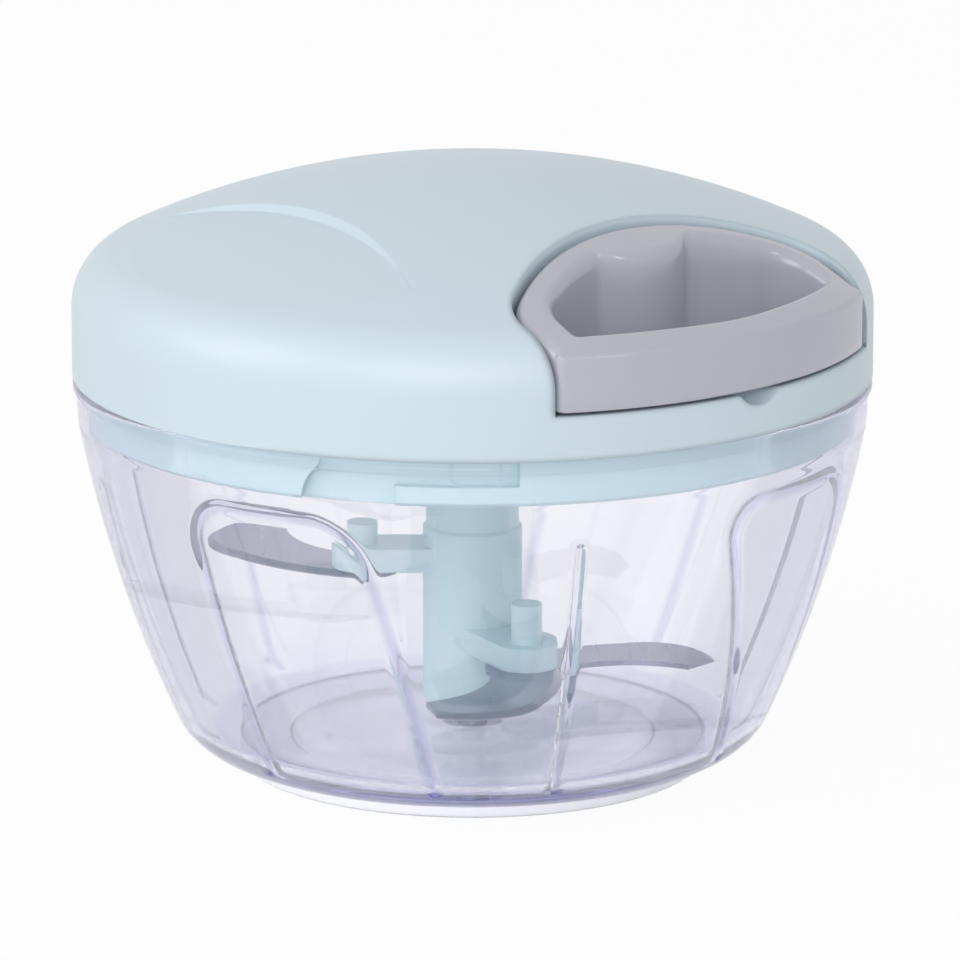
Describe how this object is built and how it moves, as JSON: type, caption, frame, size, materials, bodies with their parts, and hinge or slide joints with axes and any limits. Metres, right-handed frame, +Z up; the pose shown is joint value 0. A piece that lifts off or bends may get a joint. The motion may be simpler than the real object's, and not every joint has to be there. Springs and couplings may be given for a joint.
{
  "type": "pull string food chopper",
  "caption": "Hand food chopper: clear tapered bowl on a foot pad, domed twist-lock lid with a pull-out handle on a string, and a spinning column with curved blades at different heights.",
  "frame": {"origin": "centre of the foot pad's underside, on the blade unit's axis", "axes": "+Z up along the blade axis, -Y towards the pictured front, +X to the right of the picture"},
  "size_m": [0.13, 0.13, 0.0986],
  "materials": {
    "clear_san": "clear, polished moulded plastic",
    "silicone": "translucent white, satin",
    "pin_steel": "turned, bright",
    "lid_abs": "pale blue, satin moulded",
    "seal_rubber": "pale, matt",
    "screw_steel": "zinc plated",
    "white_acetal": "white, smooth",
    "handle_abs": "grey, satin moulded",
    "nylon_string": "braided",
    "spring_steel": "rolled strip",
    "blade_steel": "stamped and ground"
  },
  "bodies": {
    "bowl": {"bowl": "clear_san", "base_pad": "silicone", "spindle_pin": "pin_steel"},
    "seal": {"lid_seal": "seal_rubber"},
    "lid": {"lid_shell": "lid_abs", "lid_base": "lid_abs", "lid_screws": "screw_steel", "string_guide": "white_acetal", "axle_bush": "white_acetal", "string_run": "nylon_string"},
    "handle": {"pull_handle": "handle_abs", "knot_plug": "handle_abs", "string_knot": "nylon_string"},
    "reel": {"reel": "white_acetal", "spring_cover": "white_acetal", "clock_spring": "spring_steel", "string_coil": "nylon_string", "drive_socket": "white_acetal", "reel_screw": "screw_steel", "reel_washer": "screw_steel"},
    "blades": {"blade_column": "lid_abs", "column_bush": "white_acetal", "upper_blade": "blade_steel", "middle_blade": "blade_steel", "lower_blade": "blade_steel"}
  },
  "joints": [
    {"name": "lid_lift", "type": "slide", "parent": "bowl", "child": "seal", "axis": [0, 0, 1], "range_m": [0, 0.09]},
    {"name": "lid_turn", "type": "hinge", "parent": "seal", "child": "lid", "pos_m": [0, 0, 0.06515], "axis": [0, 0, 1], "range_deg": [0, 17]},
    {"name": "handle_pull", "type": "slide", "parent": "lid", "child": "handle", "axis": [0.6947, -0.7193, 0], "range_m": [0, 0.3], "stiffness_N_per_m": 10, "springref_m": -0.3, "deforming": ["string_run"]},
    {"name": "reel_turn", "type": "hinge", "parent": "lid", "child": "reel", "pos_m": [0, 0, 0.0811], "axis": [0, 0, 1], "range_deg": [0, 1380], "deforming": ["clock_spring"]},
    {"name": "blade_spin", "type": "hinge", "parent": "bowl", "child": "blades", "pos_m": [0, 0, 0.0279], "axis": [0, 0, 1], "range_deg": [0, 1380]}
  ],
  "couplings": [
    {"joint": "reel_turn", "follows": "handle_pull", "rad_per_m": 80},
    {"joint": "blade_spin", "follows": "handle_pull", "rad_per_m": 80}
  ]
}
